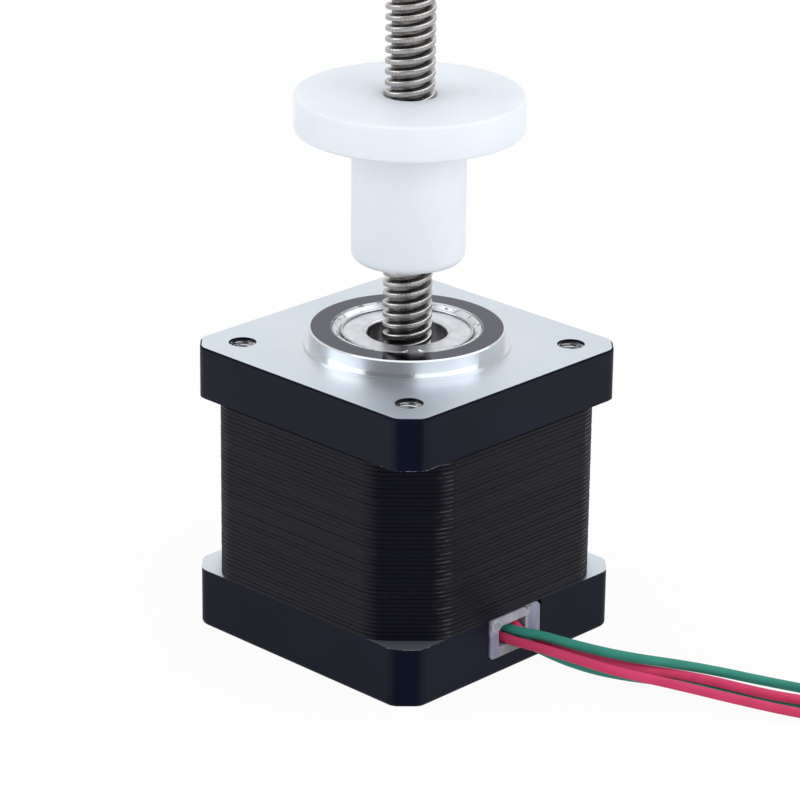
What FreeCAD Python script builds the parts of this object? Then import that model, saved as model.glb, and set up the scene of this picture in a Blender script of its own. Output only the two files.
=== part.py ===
import FreeCAD, Part
import math
import os
from FreeCAD import Vector

# External linear stepper motor, 35 mm square, with a long lead screw and a flanged nut.
# The screw is fixed in the hollow rotor, so the rotor turns the screw and the nut, which the
# user's load keeps from turning, climbs along it.
# Frame: origin at the middle of the rear face, +Z along the screw, sides along X and Y.
# The leads leave through the +X side of the rear cap. All sizes are in millimetres.

# Housing
FRAME_WIDTH = 35.0
FRONT_CAP_THICKNESS = 6.0
STACK_LENGTH = 21.0
REAR_CAP_THICKNESS = 7.0
CAP_WALL = 1.9
CAP_CORNER_CUT = 2.3
CAP_CORNER_BLEND = 1.8
CAP_EDGE_BREAK = 0.2
REAR_EDGE_ROUND = 0.5
HOLE_INSET = 4.5
MOUNT_HOLE_DIAMETER = 3.0
MOUNT_HOLE_DEPTH = 4.0
MOUNT_HOLE_CHAMFER = 0.06
BOSS_DIAMETER = 22.0
BOSS_HEIGHT = 2.0
BOSS_CHAMFER = 0.15
BOSS_FOOT_WIDTH = 0.65
BOSS_FOOT_HEIGHT = 0.25
REAR_FLOOR = 1.5

# Stator: eight poles with six teeth each
YOKE_THICKNESS = 2.5
STACK_CORNER_CUT = 5.65
STACK_CORNER_BLEND = 4.0
POLE_COUNT = 8
TEETH_PER_POLE = 6
NECK_WIDTH = 2.6
SHOE_THICKNESS = 1.5
SHOE_TIP_THICKNESS = 0.9
TOOTH_DEPTH = 0.5
AIR_GAP = 0.15
INSULATOR_THICKNESS = 0.4
INSULATOR_LEG = 0.25
INSULATOR_RIM = 0.5
INSULATOR_GAP = 0.12
GUARD_SHARE = 0.8
WINDING_THICKNESS = 1.5
WINDING_ROUND = 1.2
END_TURN_ROOM = 2.0

# Rotor: two toothed cups with a disc magnet between them, on a hollow shaft.
# The rotor's diameter is a share of the frame's width, the teeth a share of their pitch, and the
# magnet's width a share of the iron under the teeth.
ROTOR_SHARE = 0.526
ROTOR_TEETH = 50
TOOTH_SHARE = 0.444
MAGNET_THICKNESS = 2.0
MAGNET_SHARE = 0.7
ROTOR_END_GAP = 0.3
SHAFT_SHOULDER = 1.0
SLEEVE_RECESS = 2.6
SCREW_ROOT_DEPTH = 2.0

# Ball bearings, the same at both ends
BEARING_BORE = 9.0
BEARING_OUTSIDE = 17.0
BEARING_WIDTH = 5.0
BEARING_RECESS = 0.1
BALL_DIAMETER = 2.0
BALL_COUNT = 11
RACE_DEPTH = 0.32
RACE_CLEARANCE = 0.02
RING_CHAMFER = 0.2
SHIELD_THICKNESS = 0.25
SHIELD_SETBACK = 0.45
SHIELD_BEVEL = 0.6
SHIELD_LEDGE = 0.3
SHIELD_GAP = 0.04
INNER_LIP = 0.35
SNAP_WIRE_WIDTH = 0.28
SNAP_WIRE_OPENING = 14.0
CAGE_THICKNESS = 0.6
CAGE_RIM = 0.3
CAGE_CLEARANCE = 0.05
WASHER_THICKNESS = 0.15
WASHER_WAVE = 0.13
WASHER_WIDTH = 0.8
WASHER_WAVES = 3

# Lead screw and nut
SCREW_DIAMETER = 5.56
SCREW_REACH = 100.0
SCREW_CHAMFER = 0.5
SCREW_LEAD = 2.4384
SCREW_STARTS = 2
THREAD_DEPTH = 0.68
THREAD_CREST = 0.4
THREAD_ROOT = 0.42
NUT_STANDOFF = 10.1
NUT_LENGTH = 19.0
NUT_BODY_DIAMETER = 12.7
NUT_BODY_ROUND = 1.0
NUT_FLANGE_DIAMETER = 25.4
NUT_FLANGE_THICKNESS = 4.0
NUT_EDGE_ROUND = 0.25
NUT_LEAD_IN = 0.25
NUT_CLEARANCE = 0.05

# Housing screws, from the rear through the corners of the stack into the front cap
HOUSING_SCREW_DIAMETER = 2.5
HOUSING_SCREW_HEAD = 4.5
HOUSING_HEAD_HEIGHT = 2.0
HOUSING_SOCKET_WIDTH = 2.0
HOUSING_SOCKET_DEPTH = 1.1
HEAD_SINK = 0.3
SCREW_CLEARANCE = 0.15
SCREW_END_GAP = 0.2

# Lead grommet, a nylon frame in a notch of the rear cap's +X side
GROMMET_WIDTH = 8.4
GROMMET_HEIGHT = 4.75
GROMMET_DEPTH = 2.0
GROMMET_PROUD = 0.2
GROMMET_OFFSET = -0.2
GROMMET_LEFT_BAR = 1.35
GROMMET_RIGHT_BAR = 2.4
GROMMET_TOP_BAR = 1.1
GROMMET_SILL = 1.2
GROMMET_ROUND = 0.5
GROMMET_CORNER = 1.0
GROMMET_STEP = 0.25
GROMMET_TAB_WIDTH = 0.9
GROMMET_TAB_REACH = 0.6
GROMMET_NICK = 0.45
GROMMET_GROOVE_WIDTH = 0.8
GROMMET_GROOVE_DEPTH = 0.5
NOTCH_CLEARANCE = 0.12

# Leads, their coil and its tie
LEAD_DIAMETER = 1.1
LEAD_LENGTH = 300.0
COIL_X = 60.4
COIL_Y = 26.2
COIL_MIDDLE_DIAMETER = 13.2
COIL_HEADING = 15.0
COIL_COLUMN = 1.15
COIL_PITCH = 1.15
COIL_LIFT = 0.4
COIL_COVER = 0.05
TIE_THICKNESS = 0.3
TIE_ANGLE = 24.0
TIE_PLACE = 150.0
TIP_DIAMETER = 0.7
TIP_LENGTH = 5.0

# Clearance of parts that are pressed together
PRESS = 0.01

# Heights of the main faces
stack_bottom = REAR_CAP_THICKNESS
stack_top = stack_bottom + STACK_LENGTH
front_face = stack_top + FRONT_CAP_THICKNESS
boss_face = front_face + BOSS_HEIGHT
front_bearing_top = boss_face - BEARING_RECESS
front_bearing_bottom = front_bearing_top - BEARING_WIDTH
washer_space = 2 * WASHER_WAVE + WASHER_THICKNESS + 2 * PRESS
rear_bearing_bottom = REAR_FLOOR + washer_space
rear_bearing_top = rear_bearing_bottom + BEARING_WIDTH
nut_bottom = front_face + NUT_STANDOFF
nut_top = nut_bottom + NUT_LENGTH

# Radii and places that several pieces share
half_frame = FRAME_WIDTH / 2
hole_place = half_frame - HOLE_INSET
cavity_radius = half_frame - CAP_WALL
yoke_radius = half_frame - YOKE_THICKNESS
seat_radius = BEARING_OUTSIDE / 2 + PRESS
shaft_radius = BEARING_BORE / 2 + SHAFT_SHOULDER
rotor_radius = ROTOR_SHARE * half_frame
stator_bore = rotor_radius + AIR_GAP
shoe_back = stator_bore + SHOE_THICKNESS
tooth_pitch = 360.0 / ROTOR_TEETH
tooth_half = tooth_pitch * TOOTH_SHARE / 2
pitch_radius = (BEARING_BORE + BEARING_OUTSIDE) / 4
ball_radius = BALL_DIAMETER / 2
inner_land = pitch_radius - ball_radius + RACE_DEPTH
outer_land = pitch_radius + ball_radius - RACE_DEPTH
shield_outer = outer_land + SHIELD_LEDGE
lip_radius = BEARING_BORE / 2 + INNER_LIP
screw_radius = SCREW_DIAMETER / 2
lead_radius = LEAD_DIAMETER / 2
coil_centre = Vector(COIL_X, COIL_Y, 0)

Z = Vector(0, 0, 1)
ORIGIN = Vector(0, 0, 0)


def cylinder(radius, low, high):
    return Part.makeCylinder(radius, high - low, Vector(0, 0, low))


def tube(outer, inner, low, high):
    return cylinder(outer, low, high).cut(cylinder(inner, low, high))


def polar(radius, degrees):
    angle = math.radians(degrees)
    return Vector(radius * math.cos(angle), radius * math.sin(angle), 0)


def turned(shape, degrees):
    copy = shape.copy()
    copy.rotate(ORIGIN, Z, degrees)
    return copy


def prism(points, low, high):
    """A closed outline in XY, pulled up from one height to another."""
    face = Part.Face(Part.makePolygon(points + points[:1]))
    solid = face.extrude(Vector(0, 0, high - low))
    solid.translate(Vector(0, 0, low))
    return solid


def revolved(profile, degrees=360):
    """A solid turned about Z from (radius, height) points; a middle point with 'arc' bends the line."""
    edges = []
    index = 0
    closed = profile + [profile[0]]
    while index < len(closed) - 1:
        start = Vector(closed[index][0], 0, closed[index][1])
        following = closed[index + 1]
        if len(following) == 3:
            through = Vector(following[0], 0, following[1])
            end = Vector(closed[index + 2][0], 0, closed[index + 2][1])
            edges.append(Part.Arc(start, through, end).toShape())
            index += 2
        else:
            end = Vector(following[0], 0, following[1])
            edges.append(Part.LineSegment(start, end).toShape())
            index += 1
    return Part.Face(Part.Wire(edges)).revolve(ORIGIN, Z, degrees)


def square_block(corner_cut, corner_blend, low, high):
    """The frame's square outline with cut corners, whose edges are blended."""
    side = half_frame
    inner = side - corner_cut
    points = [
        Vector(inner, -side, 0), Vector(side, -inner, 0), Vector(side, inner, 0), Vector(inner, side, 0),
        Vector(-inner, side, 0), Vector(-side, inner, 0), Vector(-side, -inner, 0), Vector(-inner, -side, 0),
    ]
    block = prism(points, low, high)
    upright = [e for e in block.Edges if abs(e.Vertexes[0].Z - e.Vertexes[1].Z) > (high - low) / 2]
    return block.makeFillet(corner_blend, upright)


def edges_at(shape, height):
    """The outer edges of a housing piece that lie at one height."""
    limit = cavity_radius + CAP_WALL / 4
    found = []
    for edge in shape.Edges:
        box = edge.BoundBox
        middle = edge.valueAt((edge.FirstParameter + edge.LastParameter) / 2)
        level = abs(box.ZMin - height) < 1e-6 and abs(box.ZMax - height) < 1e-6
        if level and max(abs(middle.x), abs(middle.y)) > limit:
            found.append(edge)
    return found


def corners():
    """The four screw places on the frame's corners."""
    return [Vector(x * hole_place, y * hole_place, 0) for x in (-1, 1) for y in (-1, 1)]


def drill(shape, radius, low, high):
    """The shape with a hole of that radius at each screw place."""
    holes = []
    for place in corners():
        hole = cylinder(radius, low, high)
        hole.translate(place)
        holes.append(hole)
    return shape.cut(Part.Compound(holes))


def joined(solids):
    return Part.Compound(solids)


nodes = {}


# Front end cap: machined aluminium plate with the pilot boss, the bearing seat and tapped corner holes
cap = square_block(CAP_CORNER_CUT, CAP_CORNER_BLEND, stack_top, front_face)
cap = cap.makeChamfer(CAP_EDGE_BREAK, edges_at(cap, front_face))
boss_radius = BOSS_DIAMETER / 2
foot_radius = boss_radius + BOSS_FOOT_WIDTH
foot_top = front_face + BOSS_FOOT_HEIGHT
boss = revolved([
    (0, stack_top), (foot_radius, stack_top), (foot_radius, foot_top), (boss_radius, foot_top),
    (boss_radius, boss_face - BOSS_CHAMFER), (boss_radius - BOSS_CHAMFER, boss_face), (0, boss_face),
])
cap = cap.fuse(boss)
cap = cap.cut(cylinder(cavity_radius, stack_top, stack_top + END_TURN_ROOM))
cap = cap.cut(cylinder(seat_radius, front_bearing_bottom, boss_face))
shoulder_radius = (outer_land + BEARING_OUTSIDE / 2) / 2
cap = cap.cut(cylinder(shoulder_radius, stack_top, boss_face))
mount_bottom = front_face - MOUNT_HOLE_DEPTH
cap = drill(cap, HOUSING_SCREW_DIAMETER / 2 + PRESS, stack_top, mount_bottom)
mount_radius = MOUNT_HOLE_DIAMETER / 2
cap = drill(cap, mount_radius, mount_bottom, front_face)
mouth = Part.makeCone(mount_radius, mount_radius + MOUNT_HOLE_CHAMFER, MOUNT_HOLE_CHAMFER)
for corner in corners():
    countersink = mouth.copy()
    countersink.translate(corner + Vector(0, 0, front_face - MOUNT_HOLE_CHAMFER))
    cap = cap.cut(countersink)
nodes["front_end_cap"] = cap.removeSplitter()

# Rear end cap: cast aluminium, with the rear bearing seat, sunk screw heads and the lead notch
cap = square_block(CAP_CORNER_CUT, CAP_CORNER_BLEND, 0, stack_bottom)
cap = cap.makeFillet(REAR_EDGE_ROUND, edges_at(cap, 0))
cap = cap.cut(cylinder(cavity_radius, stack_bottom - END_TURN_ROOM, stack_bottom))
cap = cap.cut(cylinder(seat_radius, REAR_FLOOR, stack_bottom))
head_top = HEAD_SINK + HOUSING_HEAD_HEIGHT
cap = drill(cap, HOUSING_SCREW_DIAMETER / 2 + SCREW_CLEARANCE, head_top, stack_bottom)
cap = drill(cap, HOUSING_SCREW_HEAD / 2 + SCREW_CLEARANCE, 0, head_top)
grommet_front = half_frame + GROMMET_PROUD
grommet_back = grommet_front - GROMMET_DEPTH
grommet_top = stack_bottom - NOTCH_CLEARANCE / 2
grommet_bottom = grommet_top - GROMMET_HEIGHT
grommet_left = GROMMET_OFFSET - GROMMET_WIDTH / 2
grommet_right = GROMMET_OFFSET + GROMMET_WIDTH / 2
groove_low = grommet_back + (GROMMET_DEPTH - GROMMET_GROOVE_WIDTH) / 2
groove_high = groove_low + GROMMET_GROOVE_WIDTH


def notch_box(back, front, inset, room):
    """A block as wide as the grommet, less an inset, with room added all round; open at the top."""
    low = grommet_bottom + inset - room
    width = GROMMET_WIDTH - 2 * inset + 2 * room
    corner = Vector(back, grommet_left + inset - room, low)
    return Part.makeBox(front - back, width, grommet_top - low, corner)


notch_back = grommet_back - LEAD_DIAMETER / 2
notch = notch_box(notch_back, grommet_front, 0, NOTCH_CLEARANCE)
notch_mouth = notch_box(notch_back, half_frame, 0, NOTCH_CLEARANCE)
notch = notch.fuse(notch_mouth.translated(Vector(0, 0, NOTCH_CLEARANCE)))
rib_low = groove_low + NOTCH_CLEARANCE
rib_high = groove_high - NOTCH_CLEARANCE
rib = notch_box(rib_low, rib_high, -GROMMET_GROOVE_DEPTH, NOTCH_CLEARANCE)
rib = rib.cut(notch_box(rib_low, rib_high, GROMMET_GROOVE_DEPTH, NOTCH_CLEARANCE))
rib = rib.common(notch)
cap = cap.cut(notch.cut(rib))
nodes["rear_end_cap"] = cap.removeSplitter()

# Housing screws: four socket-head screws that clamp the caps and the stack together
screws = []
screw_end = mount_bottom - SCREW_END_GAP
socket = [polar(HOUSING_SOCKET_WIDTH / math.sqrt(3), 60 * k) for k in range(6)]
for corner in corners():
    screw = cylinder(HOUSING_SCREW_HEAD / 2, HEAD_SINK, head_top)
    screw = screw.fuse(cylinder(HOUSING_SCREW_DIAMETER / 2, head_top, screw_end))
    screw = screw.cut(prism(socket, HEAD_SINK, HEAD_SINK + HOUSING_SOCKET_DEPTH))
    screw.translate(corner)
    screws.append(screw.removeSplitter())
nodes["housing_screws"] = joined(screws)

# Stator stack: pressed steel laminations, a yoke with eight toothed poles
pole_step = 360.0 / POLE_COUNT
root = yoke_radius + YOKE_THICKNESS / 4
half_neck = NECK_WIDTH / 2
first_tooth = -tooth_pitch * (TEETH_PER_POLE - 1) / 2
shoe_edge = first_tooth - tooth_half
outline = [Vector(root, -half_neck, 0), Vector(shoe_back, -half_neck, 0)]
outline.append(polar(stator_bore + SHOE_TIP_THICKNESS, shoe_edge))
for tooth in range(TEETH_PER_POLE):
    middle = first_tooth + tooth * tooth_pitch
    if tooth:
        outline.append(polar(stator_bore + TOOTH_DEPTH, middle - tooth_half))
    outline.append(polar(stator_bore, middle - tooth_half))
    outline.append(polar(stator_bore, middle + tooth_half))
    if tooth < TEETH_PER_POLE - 1:
        outline.append(polar(stator_bore + TOOTH_DEPTH, middle + tooth_half))
outline.append(polar(stator_bore + SHOE_TIP_THICKNESS, -shoe_edge))
outline += [Vector(shoe_back, half_neck, 0), Vector(root, half_neck, 0)]
pole = prism(outline, stack_bottom, stack_top)
stack = square_block(STACK_CORNER_CUT, STACK_CORNER_BLEND, stack_bottom, stack_top)
stack = stack.cut(cylinder(yoke_radius, stack_bottom, stack_top))
stack = drill(stack, HOUSING_SCREW_DIAMETER / 2 + SCREW_CLEARANCE, stack_bottom, stack_top)
stack = stack.multiFuse([turned(pole, k * pole_step) for k in range(POLE_COUNT)])
nodes["stator_stack"] = stack.removeSplitter()

# Slot insulators: a moulded end frame on each end of the stack, with legs down the pole necks
wall_inner = stator_bore + SHOE_TIP_THICKNESS - INSULATOR_GAP
rim_outer = yoke_radius - 2 * PRESS
rim_inner = rim_outer - INSULATOR_RIM
wall_height = END_TURN_ROOM - INSULATOR_GAP
middle_height = (stack_bottom + stack_top) / 2
leg_length = STACK_LENGTH / 2 - INSULATOR_GAP
leg_low = half_neck + PRESS


def slot_insulator():
    """The front insulator, standing on the top of the stack."""
    base = tube(rim_outer, rim_inner, stack_top, stack_top + wall_height)
    pieces = []
    arm_half = half_neck + INSULATOR_LEG + PRESS
    for k in range(POLE_COUNT):
        arm = Part.makeBox(rim_inner + INSULATOR_RIM / 2 - shoe_back, 2 * arm_half, INSULATOR_THICKNESS,
                           Vector(shoe_back, -arm_half, stack_top))
        guard_half = stator_bore * math.tan(math.radians(-shoe_edge)) * GUARD_SHARE
        guard = Part.makeBox(shoe_back - wall_inner + INSULATOR_GAP, 2 * guard_half, wall_height,
                             Vector(wall_inner, -guard_half, stack_top))
        arm = arm.fuse(guard)
        for side in (leg_low, -leg_low - INSULATOR_LEG):
            leg = Part.makeBox(rim_inner - shoe_back - 2 * INSULATOR_GAP, INSULATOR_LEG,
                               leg_length + INSULATOR_THICKNESS,
                               Vector(shoe_back + INSULATOR_GAP, side, stack_top - leg_length))
            arm = arm.fuse(leg)
        pieces.append(turned(arm, k * pole_step))
    return base.multiFuse(pieces).removeSplitter()


insulator = slot_insulator()
nodes["front_slot_insulator"] = insulator
nodes["rear_slot_insulator"] = insulator.mirror(Vector(0, 0, middle_height), Z)

# Windings: one coil of enamelled wire round each pole neck; every other pole belongs to one phase
coil_inner_half = leg_low + INSULATOR_LEG + PRESS
coil_outer_half = coil_inner_half + WINDING_THICKNESS
coil_low = shoe_back + 2 * INSULATOR_GAP
coil_high = math.sqrt(rim_inner ** 2 - coil_outer_half ** 2) - INSULATOR_GAP
coil_inner_reach = STACK_LENGTH / 2 + INSULATOR_THICKNESS + PRESS
coil_outer_reach = STACK_LENGTH / 2 + wall_height - INSULATOR_GAP
coil_width = coil_high - coil_low
winding = Part.makeBox(coil_width, 2 * coil_outer_half, 2 * coil_outer_reach,
                       Vector(coil_low, -coil_outer_half, middle_height - coil_outer_reach))
along_pole = [e for e in winding.Edges if abs(e.Vertexes[0].X - e.Vertexes[1].X) > coil_width / 2]
winding = winding.makeFillet(WINDING_ROUND, along_pole)
winding = winding.cut(Part.makeBox(coil_width, 2 * coil_inner_half, 2 * coil_inner_reach,
                                   Vector(coil_low, -coil_inner_half, middle_height - coil_inner_reach)))
for phase, first in (("a", 0), ("b", 1)):
    poles = range(first, POLE_COUNT, 2)
    nodes["winding_phase_" + phase] = joined([turned(winding, k * pole_step) for k in poles])

# Rotor: two toothed steel cups half a tooth apart, with a disc magnet between them
cup_length = (STACK_LENGTH - 2 * ROTOR_END_GAP - MAGNET_THICKNESS) / 2
outline = []
for tooth in range(ROTOR_TEETH):
    middle = tooth * tooth_pitch
    outline.append(polar(rotor_radius - TOOTH_DEPTH, middle - tooth_half))
    outline.append(polar(rotor_radius, middle - tooth_half))
    outline.append(polar(rotor_radius, middle + tooth_half))
    outline.append(polar(rotor_radius - TOOTH_DEPTH, middle + tooth_half))
cup_bottom = stack_bottom + ROTOR_END_GAP
cup = prism(outline, cup_bottom, cup_bottom + cup_length)
cup = cup.cut(cylinder(shaft_radius + PRESS, cup_bottom, cup_bottom + cup_length))
nodes["rotor_cup_rear"] = cup
front_cup = turned(cup, tooth_pitch / 2)
nodes["rotor_cup_front"] = front_cup.translated(Vector(0, 0, cup_length + MAGNET_THICKNESS))
magnet_bottom = cup_bottom + cup_length
magnet_top = magnet_bottom + MAGNET_THICKNESS
magnet_radius = shaft_radius + MAGNET_SHARE * (rotor_radius - TOOTH_DEPTH - shaft_radius)
nodes["rotor_magnet"] = tube(magnet_radius, shaft_radius + PRESS, magnet_bottom, magnet_top)

# Hollow rotor shaft: a journal at each end, a collar against each inner ring, the screw in its bore
journal = BEARING_BORE / 2 - PRESS
shaft_bottom = rear_bearing_bottom + SHIELD_SETBACK + RING_CHAMFER
sleeve_end = boss_face - SLEEVE_RECESS
screw_bottom = rear_bearing_top + SCREW_ROOT_DEPTH
sleeve_bore = screw_radius + PRESS
rear_collar = rear_bearing_top - SHIELD_SETBACK
front_collar = front_bearing_bottom + SHIELD_SETBACK
nodes["rotor_shaft"] = revolved([
    (0, shaft_bottom), (journal, shaft_bottom), (journal, rear_collar), (lip_radius, rear_collar),
    (lip_radius, rear_bearing_top), (shaft_radius, rear_bearing_top), (shaft_radius, front_bearing_bottom),
    (lip_radius, front_bearing_bottom), (lip_radius, front_collar), (journal, front_collar),
    (journal, sleeve_end), (sleeve_bore, sleeve_end), (sleeve_bore, screw_bottom), (0, screw_bottom),
])

# Lead screw: a stainless rod with a rolled right-hand thread of two starts, from the sleeve to the tip.
# Each face is ruled between two helices or circles, half a turn at a time, and all are sewn into one skin.
screw_top = front_face + SCREW_REACH
tip_bottom = screw_top - SCREW_CHAMFER
thread_bottom = sleeve_end - SCREW_LEAD
thread_turns = int((tip_bottom - thread_bottom) / SCREW_LEAD) - 1
thread_top = thread_bottom + thread_turns * SCREW_LEAD
thread_pitch = SCREW_LEAD / SCREW_STARTS
thread_flank = (thread_pitch - THREAD_CREST - THREAD_ROOT) / 2
thread_core = screw_radius - THREAD_DEPTH
thread_channels = []
for start in range(SCREW_STARTS):
    channel_low = start * thread_pitch + THREAD_CREST
    channel_high = (start + 1) * thread_pitch
    thread_channels.append([
        (screw_radius, channel_low), (thread_core, channel_low + thread_flank),
        (thread_core, channel_high - thread_flank), (screw_radius, channel_high),
    ])
thread_profile = [(screw_radius, 0)] + [point for channel in thread_channels for point in channel]


def half_helix(radius, low, half):
    """The first or second half turn of a helix that starts over the X axis."""
    edge = Part.makeHelix(SCREW_LEAD, SCREW_LEAD / 2, radius).Edges[0]
    edge.rotate(ORIGIN, Z, 180 * half)
    edge.translate(Vector(0, 0, low + half * SCREW_LEAD / 2))
    return edge


def half_circle(radius, height, half):
    return Part.makeCircle(radius, Vector(0, 0, height), Z, 180 * half, 180 * half + 180)


skin = []
for half in (0, 1):
    for (low_radius, low), (high_radius, high) in zip(thread_profile, thread_profile[1:]):
        strip = Part.makeRuledSurface(half_helix(low_radius, low, half), half_helix(high_radius, high, half))
        for turn in range(thread_turns):
            skin.append(strip.translated(Vector(0, 0, thread_bottom + turn * SCREW_LEAD)))
    bottom_edge = half_circle(screw_radius, screw_bottom, half)
    tip_edge = half_circle(screw_radius, tip_bottom, half)
    top_edge = half_circle(screw_radius - SCREW_CHAMFER, screw_top, half)
    skin.append(Part.makeRuledSurface(bottom_edge, half_helix(screw_radius, thread_bottom, half)))
    skin.append(Part.makeRuledSurface(half_helix(screw_radius, thread_top, half), tip_edge))
    skin.append(Part.makeRuledSurface(tip_edge, top_edge))
for height in (thread_bottom, thread_top):
    for channel in thread_channels:
        groove_end = [Vector(radius, 0, height + rise) for radius, rise in channel]
        skin.append(Part.Face(Part.makePolygon(groove_end + groove_end[:1])))
for radius, height in ((screw_radius, screw_bottom), (screw_radius - SCREW_CHAMFER, screw_top)):
    skin.append(Part.Face(Part.Wire([half_circle(radius, height, half) for half in (0, 1)])))
sewn = Part.Compound(skin)
sewn.sewShape()
screw = Part.Solid(sewn.Shells[0])
if screw.Volume < 0:
    screw.reverse()
nodes["lead_screw"] = screw

# Lead nut: turned white plastic, a round body towards the motor and a wide flange away from it
nut_bore = screw_radius + NUT_CLEARANCE
body_radius = NUT_BODY_DIAMETER / 2
flange_radius = NUT_FLANGE_DIAMETER / 2
flange_bottom = nut_top - NUT_FLANGE_THICKNESS
bend = 1 - math.sqrt(0.5)
nodes["lead_nut"] = revolved([
    (nut_bore + NUT_LEAD_IN, nut_bottom), (body_radius - NUT_BODY_ROUND, nut_bottom),
    (body_radius - NUT_BODY_ROUND * bend, nut_bottom + NUT_BODY_ROUND * bend, "arc"),
    (body_radius, nut_bottom + NUT_BODY_ROUND), (body_radius, flange_bottom),
    (flange_radius - NUT_EDGE_ROUND, flange_bottom),
    (flange_radius - NUT_EDGE_ROUND * bend, flange_bottom + NUT_EDGE_ROUND * bend, "arc"),
    (flange_radius, flange_bottom + NUT_EDGE_ROUND), (flange_radius, nut_top - NUT_EDGE_ROUND),
    (flange_radius - NUT_EDGE_ROUND * bend, nut_top - NUT_EDGE_ROUND * bend, "arc"),
    (flange_radius - NUT_EDGE_ROUND, nut_top), (nut_bore + NUT_LEAD_IN, nut_top),
    (nut_bore, nut_top - NUT_LEAD_IN), (nut_bore, nut_bottom + NUT_LEAD_IN),
])


# Ball bearings: rings with ground races, a ball set in a ribbon cage, and a shield each side held by a
# snap wire. The shields reach over the inner ring's shoulders to the lip beside its bore, level with it.
def bearing(low):
    high = low + BEARING_WIDTH
    middle = (low + high) / 2
    bore = BEARING_BORE / 2
    outside = BEARING_OUTSIDE / 2
    race = ball_radius + RACE_CLEARANCE
    race_half = math.sqrt(race ** 2 - (ball_radius - RACE_DEPTH) ** 2)
    chamfer = RING_CHAMFER
    ledge = SHIELD_SETBACK + SHIELD_THICKNESS
    lip = SHIELD_SETBACK
    under_shield = ledge + SHIELD_GAP
    inner = revolved([
        (bore + chamfer, low + lip), (lip_radius, low + lip), (lip_radius, low + under_shield),
        (inner_land, low + under_shield), (inner_land, middle - race_half),
        (pitch_radius - race, middle, "arc"), (inner_land, middle + race_half),
        (inner_land, high - under_shield), (lip_radius, high - under_shield), (lip_radius, high - lip),
        (bore + chamfer, high - lip), (bore, high - lip - chamfer), (bore, low + lip + chamfer),
    ])
    bevel_foot = SHIELD_SETBACK - RACE_CLEARANCE
    outer = revolved([
        (outer_land, low + ledge), (shield_outer, low + ledge), (shield_outer, low + bevel_foot),
        (shield_outer + SHIELD_BEVEL, low), (outside - chamfer, low), (outside, low + chamfer),
        (outside, high - chamfer), (outside - chamfer, high), (shield_outer + SHIELD_BEVEL, high),
        (shield_outer, high - bevel_foot), (shield_outer, high - ledge), (outer_land, high - ledge),
        (outer_land, middle + race_half), (pitch_radius + race, middle, "arc"),
        (outer_land, middle - race_half),
    ])
    places = [polar(pitch_radius, 360.0 * k / BALL_COUNT) + Vector(0, 0, middle) for k in range(BALL_COUNT)]
    cage_half = ball_radius + CAGE_RIM
    cage = tube(pitch_radius + CAGE_THICKNESS / 2, pitch_radius - CAGE_THICKNESS / 2,
                middle - cage_half, middle + cage_half)
    pockets = []
    for k in range(BALL_COUNT):
        pocket_start = Vector(pitch_radius / 2, 0, middle)
        pocket = Part.makeCylinder(ball_radius + CAGE_CLEARANCE, pitch_radius, pocket_start, Vector(1, 0, 0))
        pockets.append(turned(pocket, 360.0 * k / BALL_COUNT))
    cage = cage.cut(Part.Compound(pockets))
    rim = shield_outer - RACE_CLEARANCE
    shields = []
    wires = []
    for bottom, wire_bottom in ((low + SHIELD_SETBACK, low + SHIELD_SETBACK - SNAP_WIRE_WIDTH),
                                (high - ledge, high - SHIELD_SETBACK)):
        shields.append(tube(rim, lip_radius + SHIELD_GAP, bottom, bottom + SHIELD_THICKNESS))
        wire_top = wire_bottom + SNAP_WIRE_WIDTH
        wire = revolved([(rim, wire_bottom), (rim, wire_top), (rim - SNAP_WIRE_WIDTH, wire_top),
                         (rim - SNAP_WIRE_WIDTH, wire_bottom)], 360 - SNAP_WIRE_OPENING)
        wires.append(turned(wire, SNAP_WIRE_OPENING / 2 - 45))
    return {
        "outer_ring": outer, "inner_ring": inner,
        "balls": joined([Part.makeSphere(ball_radius, place) for place in places]),
        "cage": cage, "shields": joined(shields), "snap_wires": joined(wires),
    }


for end, low in (("front", front_bearing_bottom), ("rear", rear_bearing_bottom)):
    for piece, shape in bearing(low).items():
        nodes[end + "_bearing_" + piece] = shape

# Wave washer: a wavy spring-steel ring that pushes the rear bearing's outer ring forward
washer_outer = BEARING_OUTSIDE / 2 - PRESS
washer_inner = washer_outer - WASHER_WIDTH
washer_middle = REAR_FLOOR + washer_space / 2


def wave(radius, lift):
    """One closed edge of the washer."""
    steps = 8 * WASHER_WAVES
    points = []
    for k in range(steps):
        degrees = 360.0 * k / steps
        height = washer_middle + lift + WASHER_WAVE * math.cos(math.radians(WASHER_WAVES * degrees))
        points.append(polar(radius, degrees) + Vector(0, 0, height))
    curve = Part.BSplineCurve()
    curve.interpolate(points, PeriodicFlag=True)
    return curve.toShape()


half_washer = WASHER_THICKNESS / 2
rings = [wave(washer_outer, half_washer), wave(washer_inner, half_washer),
         wave(washer_inner, -half_washer), wave(washer_outer, -half_washer)]
faces = [Part.makeRuledSurface(rings[k], rings[(k + 1) % 4]) for k in range(4)]
washer = Part.Solid(Part.Shell([f for face in faces for f in face.Faces]))
if washer.Volume < 0:
    washer.reverse()
nodes["wave_washer"] = washer

# Lead grommet: a moulded frame with a window for the leads and a groove that the notch's rib runs in.
# The right bar's face is stepped back, and the end of the top bar laps over it as a round tab.
def lengthwise(shape, y, z):
    """The edge of a grommet block that runs along X at that place."""
    found = []
    for edge in shape.Edges:
        middle = edge.CenterOfMass
        if edge.BoundBox.XLength > GROMMET_DEPTH / 2 and math.hypot(middle.y - y, middle.z - z) < PRESS:
            found.append(edge)
    return found


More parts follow.
